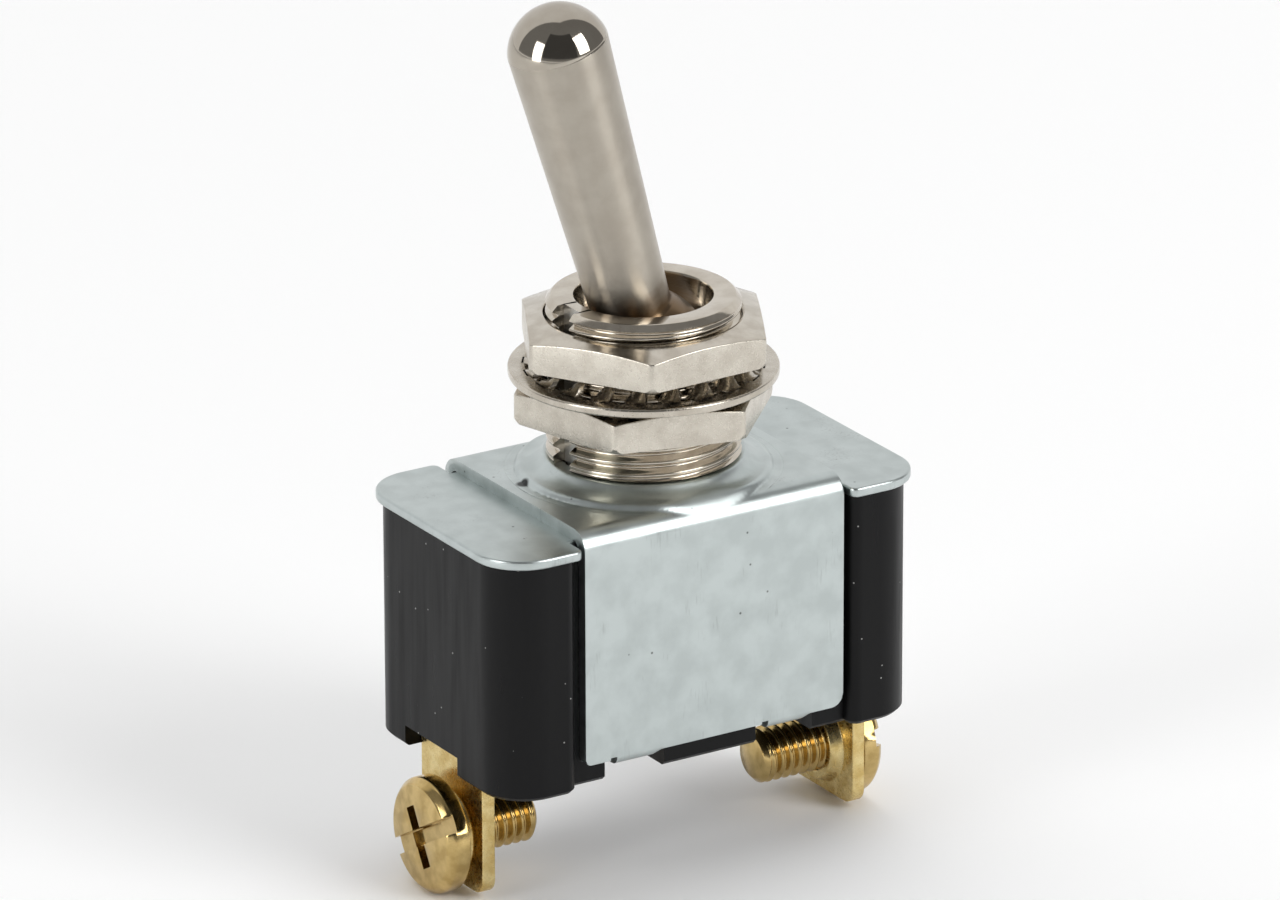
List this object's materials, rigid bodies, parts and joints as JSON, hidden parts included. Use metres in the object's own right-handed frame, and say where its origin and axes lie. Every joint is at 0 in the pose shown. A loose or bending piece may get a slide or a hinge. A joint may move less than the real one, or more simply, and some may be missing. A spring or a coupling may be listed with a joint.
{
  "type": "panel toggle switch",
  "caption": "Panel toggle switch with a threaded bushing, hex nuts, lock washer, bat lever, zinc bracket, black case and brass screw terminals.",
  "frame": {"origin": "on the bushing's axis at the foot of its thread, level with the top of the bracket's boss", "axes": "+Z along the bushing, out through the panel; +X along the case, away from the side the lever leans to; the lever swings in the XZ plane"},
  "size_m": [0.0316, 0.0174, 0.055],
  "materials": {
    "bright_nickel": "bright nickel plate, warm grey, turned",
    "satin_nickel": "satin nickel plate, finely brushed",
    "nut_nickel": "nickel plate over a grainy blank",
    "zinc_plate": "pale blue zinc plate",
    "spring_steel": "bright spring steel",
    "black_phenolic": "black moulded phenolic, semi-gloss",
    "brown_phenolic": "brown moulded phenolic",
    "vulcanised_fibre": "grey vulcanised fibre",
    "terminal_brass": "rolled brass, milky",
    "screw_brass": "bright turned brass",
    "contact_silver": "silver alloy",
    "contact_copper": "rolled copper"
  },
  "bodies": {
    "case": {"bushing": "bright_nickel", "ball_retainer": "spring_steel", "bracket": "zinc_plate", "cover_plate": "zinc_plate", "insulator_sheet": "vulcanised_fibre", "housing": "black_phenolic", "terminal_left": "terminal_brass", "terminal_right": "terminal_brass", "fixed_contact_left": "contact_silver", "fixed_contact_right": "contact_silver"},
    "lever": {"toggle_lever": "satin_nickel", "pivot_pin": "spring_steel"},
    "carriage": {"contact_carriage": "brown_phenolic", "contact_spring": "spring_steel"},
    "bridge": {"contact_bridge": "contact_copper", "contact_button_left": "contact_silver", "contact_button_right": "contact_silver"},
    "lower_nut": {"lower_hex_nut": "nut_nickel", "lock_washer": "bright_nickel"},
    "upper_nut": {"upper_hex_nut": "nut_nickel"},
    "left_screw": {"terminal_screw_left": "screw_brass"},
    "right_screw": {"terminal_screw_right": "screw_brass"}
  },
  "joints": [
    {"name": "lever_pivot", "type": "hinge", "parent": "case", "child": "lever", "pos_m": [0, 0, 0.00635], "axis": [0, 1, 0], "range_deg": [0, 32.4]},
    {"name": "carriage_slide", "type": "slide", "parent": "case", "child": "carriage", "axis": [1, 0, 0], "range_m": [-0.0067, 0]},
    {"name": "bridge_lift", "type": "slide", "parent": "carriage", "child": "bridge", "axis": [0, 0, 1], "range_m": [0, 0.0004], "stiffness_N_per_m": 300, "springref_m": -0.003, "deforming": ["contact_spring"]},
    {"name": "lower_nut_turn", "type": "hinge", "parent": "case", "child": "lower_nut", "pos_m": [0, 0, 0.00387], "axis": [0, 0, 1], "range_deg": [-1215, 0]},
    {"name": "upper_nut_turn", "type": "hinge", "parent": "case", "child": "upper_nut", "pos_m": [0, 0, 0.00781], "axis": [0, 0, 1], "range_deg": [0, 1578]},
    {"name": "left_screw_turn", "type": "hinge", "parent": "case", "child": "left_screw", "pos_m": [-0.0146, 0, -0.0219], "axis": [-1, 0, 0], "range_deg": [0, 3400]},
    {"name": "right_screw_turn", "type": "hinge", "parent": "case", "child": "right_screw", "pos_m": [0.0138, 0, -0.0219], "axis": [1, 0, 0], "range_deg": [0, 3400]}
  ],
  "couplings": [
    {"joint": "carriage_slide", "follows": "lever_pivot", "m_per_rad": -0.011841}
  ]
}
